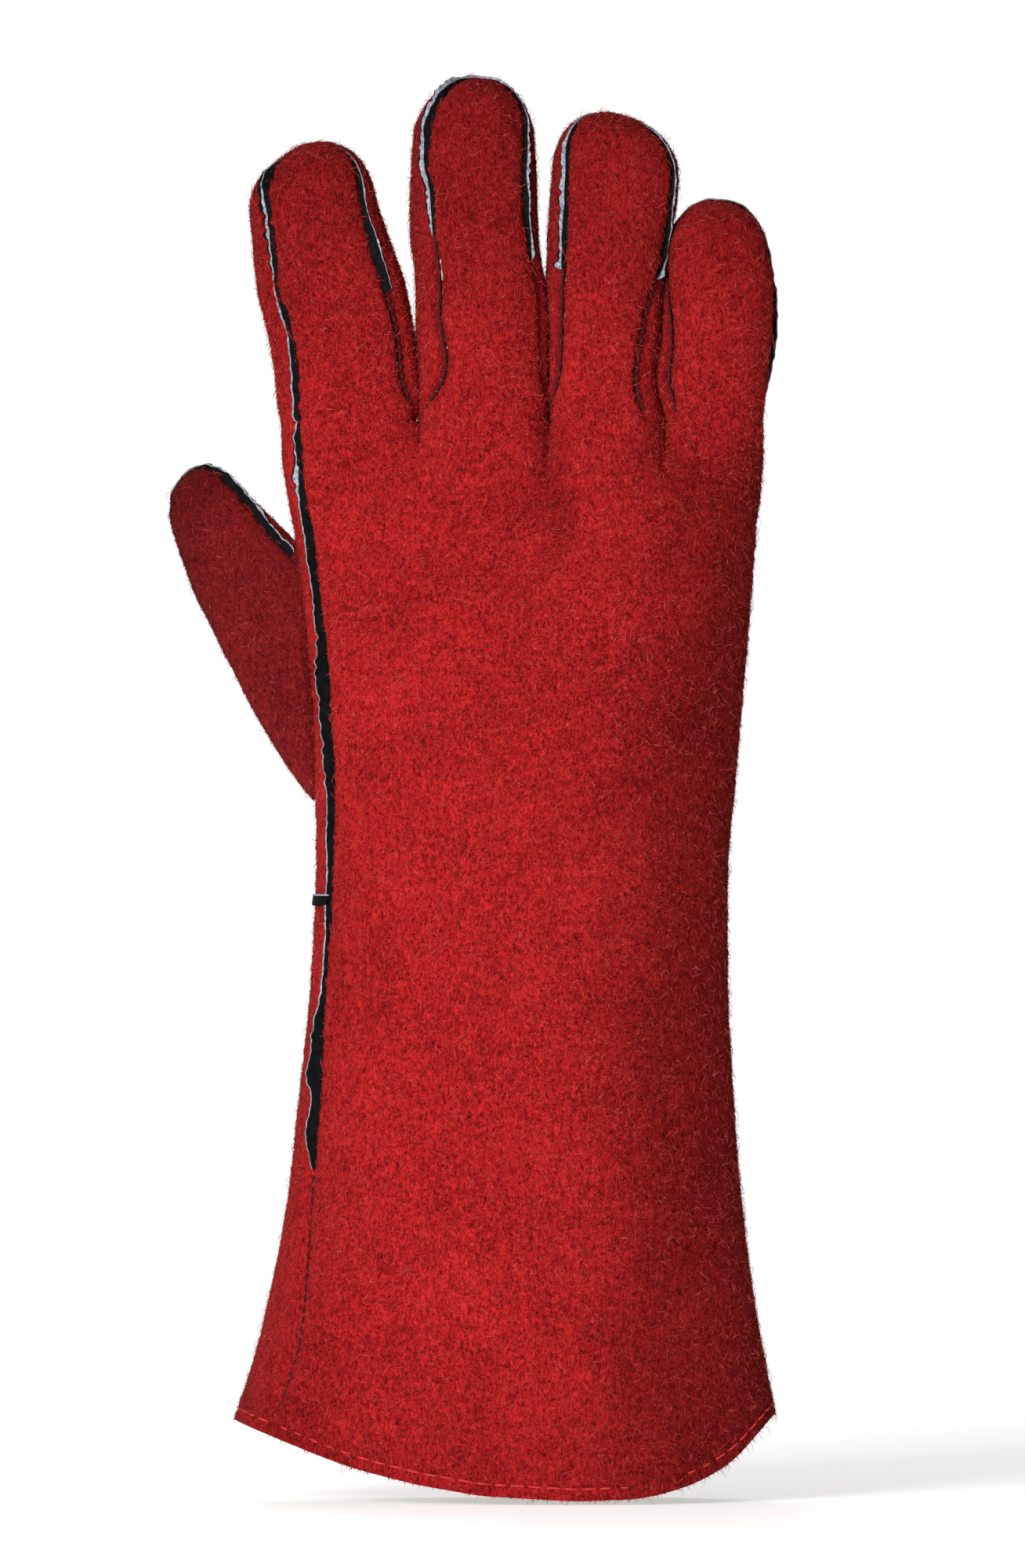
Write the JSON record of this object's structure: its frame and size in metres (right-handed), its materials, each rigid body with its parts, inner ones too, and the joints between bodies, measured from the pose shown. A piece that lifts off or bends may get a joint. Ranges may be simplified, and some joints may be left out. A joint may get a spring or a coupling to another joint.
{
  "type": "heat resistant gauntlet glove",
  "caption": "Right-hand heat resistant gauntlet in red split leather with black welted seams, fingers and thumb that flex, a lined hand and a flared cuff.",
  "frame": {"origin": "middle of the cuff's mouth, level with the lowest point of the hem", "axes": "+Z from the cuff's mouth to the fingertips, -Y out of the back of the hand, +Y out of the palm, the thumb on the -X side"},
  "size_m": [0.1515, 0.0622, 0.3553],
  "materials": {
    "red_split_leather": "fuzzy split suede, matte",
    "black_vinyl_welt": "matte black vinyl with a grey-white woven backing",
    "canvas_lining": "plain woven unbleached cotton",
    "fleece_lining": "brushed cream cotton fleece",
    "red_thread": "twisted red sewing thread"
  },
  "bodies": {
    "cuff": {"cuff_back": "red_split_leather", "cuff_front": "red_split_leather", "cuff_lining": "canvas_lining", "cuff_side_welt": "black_vinyl_welt", "wrist_welt": "black_vinyl_welt", "hem_thread": "red_thread"},
    "hand": {"hand_back": "red_split_leather", "palm": "red_split_leather", "hand_lining": "fleece_lining", "hand_side_welt": "black_vinyl_welt"},
    "index": {"index_back": "red_split_leather", "index_front": "red_split_leather", "index_thumb_side_wall": "red_split_leather", "index_far_side_wall": "red_split_leather", "index_welt": "black_vinyl_welt", "index_lining": "fleece_lining"},
    "middle": {"middle_back": "red_split_leather", "middle_front": "red_split_leather", "middle_thumb_side_wall": "red_split_leather", "middle_far_side_wall": "red_split_leather", "middle_welt": "black_vinyl_welt", "middle_lining": "fleece_lining"},
    "ring": {"ring_back": "red_split_leather", "ring_front": "red_split_leather", "ring_thumb_side_wall": "red_split_leather", "ring_far_side_wall": "red_split_leather", "ring_welt": "black_vinyl_welt", "ring_lining": "fleece_lining"},
    "little": {"little_back": "red_split_leather", "little_front": "red_split_leather", "little_thumb_side_wall": "red_split_leather", "little_far_side_wall": "red_split_leather", "little_welt": "black_vinyl_welt", "little_lining": "fleece_lining"},
    "thumb": {"thumb_back": "red_split_leather", "thumb_front": "red_split_leather", "thumb_upper_wall": "red_split_leather", "thumb_lower_wall": "red_split_leather", "thumb_welt": "black_vinyl_welt", "thumb_lining": "fleece_lining"}
  },
  "joints": [
    {"name": "wrist_flex", "type": "hinge", "parent": "cuff", "child": "hand", "pos_m": [0, 0.03, 0.15], "axis": [-1, 0, 0], "range_deg": [0, 45], "stiffness_Nm_per_rad": 0.3},
    {"name": "index_flex", "type": "hinge", "parent": "hand", "child": "index", "pos_m": [-0.037, 0.03, 0.268], "axis": [-1, 0, 0], "range_deg": [0, 75], "stiffness_Nm_per_rad": 0.05},
    {"name": "middle_flex", "type": "hinge", "parent": "hand", "child": "middle", "pos_m": [-0.0045, 0.03, 0.268], "axis": [-1, 0, 0], "range_deg": [0, 75], "stiffness_Nm_per_rad": 0.05},
    {"name": "ring_flex", "type": "hinge", "parent": "hand", "child": "ring", "pos_m": [0.0255, 0.03, 0.268], "axis": [-1, 0, 0], "range_deg": [0, 75], "stiffness_Nm_per_rad": 0.05},
    {"name": "little_flex", "type": "hinge", "parent": "hand", "child": "little", "pos_m": [0.052, 0.03, 0.268], "axis": [-1, 0, 0], "range_deg": [0, 75], "stiffness_Nm_per_rad": 0.05},
    {"name": "thumb_flex", "type": "hinge", "parent": "hand", "child": "thumb", "pos_m": [-0.0335, 0.03, 0.206], "axis": [0.0746, 0, -0.9972], "range_deg": [0, 60], "stiffness_Nm_per_rad": 0.05}
  ]
}
